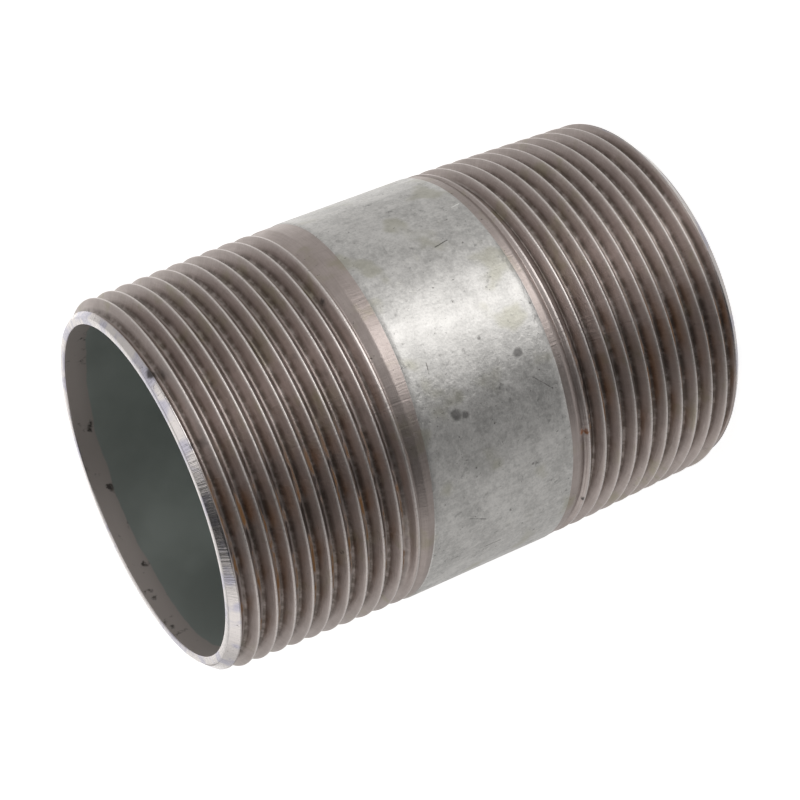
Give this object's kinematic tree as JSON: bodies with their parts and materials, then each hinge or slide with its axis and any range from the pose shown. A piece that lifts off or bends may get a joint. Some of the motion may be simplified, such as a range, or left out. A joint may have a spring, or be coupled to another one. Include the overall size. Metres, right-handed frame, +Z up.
{
  "type": "pipe nipple",
  "caption": "Short galvanised steel pipe with an external taper pipe thread on each end and a plain middle, for joining two internally threaded fittings.",
  "frame": {"origin": "centre of the lower end face, on the pipe axis", "axes": "+Z up along the pipe axis; the nipple stands on its lower end"},
  "size_m": [0.0486, 0.0484, 0.0714],
  "materials": {
    "galvanised_steel": "bare grey-brown steel threads with a dull zinc coat between them and in the bore"
  },
  "bodies": {
    "root": {"nipple_body": "galvanised_steel"}
  },
  "joints": []
}
